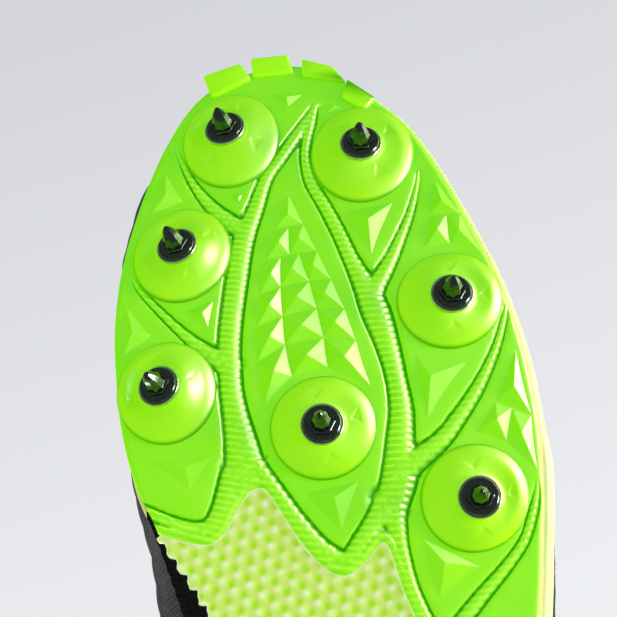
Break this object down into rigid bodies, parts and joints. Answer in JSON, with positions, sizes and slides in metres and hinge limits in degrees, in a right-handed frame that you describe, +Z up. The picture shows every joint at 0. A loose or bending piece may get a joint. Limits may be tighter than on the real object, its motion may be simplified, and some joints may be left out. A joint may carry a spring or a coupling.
{
  "type": "spiked cleat",
  "caption": "Left low-cut lace-up cleat: moulded sole plate with screw-in metal spikes in domed pods, translucent arch window, studded heel, padded upper.",
  "frame": {"origin": "middle of the footprint's bounding box, on the ground that the heel studs and the middle spike touch", "axes": "+Y to the toe, +X to the medial (big toe) side of this left shoe, +Z up"},
  "size_m": [0.1008, 0.2903, 0.1256],
  "materials": {
    "plate": "satin",
    "toe_tabs": "satin",
    "window": "translucent",
    "shank": "matte",
    "foam": "matte",
    "board": "matte",
    "liner": "matte",
    "knit": "matte",
    "overlay": "satin",
    "tongue": "matte",
    "webbing": "matte",
    "lining": "matte",
    "eyelet": "satin",
    "lace": "matte",
    "insert": "satin",
    "washer": "bright",
    "spike": "black chrome"
  },
  "bodies": {
    "shoe": {"forefoot_plate": "plate", "arch_window": "window", "heel_plate": "plate", "waist_wrap": "knit", "toe_bumper": "toe_tabs", "shank": "shank", "midsole": "foam", "strobel_board": "board", "sockliner": "liner", "vamp": "knit", "quarter_medial": "knit", "quarter_lateral": "knit", "heel_panel": "knit", "toe_guard": "overlay", "heel_counter": "overlay", "eyestay_medial": "overlay", "eyestay_lateral": "overlay", "tongue": "tongue", "tongue_keeper": "webbing", "collar_lining": "lining", "toe_puff": "board", "heel_tape": "webbing", "eyelets_medial": "eyelet", "eyelets_lateral": "eyelet", "lace": "lace", "receptacle_1": "insert", "receptacle_2": "insert", "receptacle_3": "insert", "receptacle_4": "insert", "receptacle_5": "insert", "receptacle_6": "insert", "receptacle_7": "insert"},
    "washer_body_1": {"washer_1": "washer"},
    "spike_body_1": {"spike_1": "spike"},
    "washer_body_2": {"washer_2": "washer"},
    "spike_body_2": {"spike_2": "spike"},
    "washer_body_3": {"washer_3": "washer"},
    "spike_body_3": {"spike_3": "spike"},
    "washer_body_4": {"washer_4": "washer"},
    "spike_body_4": {"spike_4": "spike"},
    "washer_body_5": {"washer_5": "washer"},
    "spike_body_5": {"spike_5": "spike"},
    "washer_body_6": {"washer_6": "washer"},
    "spike_body_6": {"spike_6": "spike"},
    "washer_body_7": {"washer_7": "washer"},
    "spike_body_7": {"spike_7": "spike"}
  },
  "joints": [
    {"name": "spike_1_travel", "type": "slide", "parent": "shoe", "child": "washer_body_1", "axis": [0.0958, 0.309, -0.9462], "range_m": [0, 0.0048]},
    {"name": "spike_1_turn", "type": "hinge", "parent": "washer_body_1", "child": "spike_body_1", "pos_m": [0.0195, 0.1237, 0.02332], "axis": [0.0958, 0.309, -0.9462], "range_deg": [0, 2160]},
    {"name": "spike_2_travel", "type": "slide", "parent": "shoe", "child": "washer_body_2", "axis": [-0.0872, 0.2672, -0.9597], "range_m": [0, 0.0048]},
    {"name": "spike_2_turn", "type": "hinge", "parent": "washer_body_2", "child": "spike_body_2", "pos_m": [-0.0139, 0.1143, 0.02078], "axis": [-0.0872, 0.2672, -0.9597], "range_deg": [0, 2160]},
    {"name": "spike_3_travel", "type": "slide", "parent": "shoe", "child": "washer_body_3", "axis": [0.1736, 0.3007, -0.9378], "range_m": [0, 0.0048]},
    {"name": "spike_3_turn", "type": "hinge", "parent": "washer_body_3", "child": "spike_body_3", "pos_m": [0.0323, 0.0908, 0.01444], "axis": [0.1736, 0.3007, -0.9378], "range_deg": [0, 2160]},
    {"name": "spike_4_travel", "type": "slide", "parent": "shoe", "child": "washer_body_4", "axis": [-0.1478, 0.1822, -0.9721], "range_m": [0, 0.0048]},
    {"name": "spike_4_turn", "type": "hinge", "parent": "washer_body_4", "child": "spike_body_4", "pos_m": [-0.0327, 0.0689, 0.00996], "axis": [-0.1478, 0.1822, -0.9721], "range_deg": [0, 2160]},
    {"name": "spike_5_travel", "type": "slide", "parent": "shoe", "child": "washer_body_5", "axis": [0.2164, 0.1219, -0.9687], "range_m": [0, 0.0048]},
    {"name": "spike_5_turn", "type": "hinge", "parent": "washer_body_5", "child": "spike_body_5", "pos_m": [0.0381, 0.054, 0.00839], "axis": [0.2164, 0.1219, -0.9687], "range_deg": [0, 2160]},
    {"name": "spike_6_travel", "type": "slide", "parent": "shoe", "child": "washer_body_6", "axis": [-0.0523, 0.0349, -0.998], "range_m": [0, 0.0048]},
    {"name": "spike_6_turn", "type": "hinge", "parent": "washer_body_6", "child": "spike_body_6", "pos_m": [0.0004, 0.04, 0.00802], "axis": [-0.0523, 0.0349, -0.998], "range_deg": [0, 2160]},
    {"name": "spike_7_travel", "type": "slide", "parent": "shoe", "child": "washer_body_7", "axis": [-0.1392, -0.0958, -0.9856], "range_m": [0, 0.0048]},
    {"name": "spike_7_turn", "type": "hinge", "parent": "washer_body_7", "child": "spike_body_7", "pos_m": [-0.0341, 0.0189, 0.00981], "axis": [-0.1392, -0.0958, -0.9856], "range_deg": [0, 2160]}
  ],
  "couplings": [
    {"joint": "spike_1_turn", "follows": "spike_1_travel", "rad_per_m": 7854},
    {"joint": "spike_2_turn", "follows": "spike_2_travel", "rad_per_m": 7854},
    {"joint": "spike_3_turn", "follows": "spike_3_travel", "rad_per_m": 7854},
    {"joint": "spike_4_turn", "follows": "spike_4_travel", "rad_per_m": 7854},
    {"joint": "spike_5_turn", "follows": "spike_5_travel", "rad_per_m": 7854},
    {"joint": "spike_6_turn", "follows": "spike_6_travel", "rad_per_m": 7854},
    {"joint": "spike_7_turn", "follows": "spike_7_travel", "rad_per_m": 7854}
  ]
}
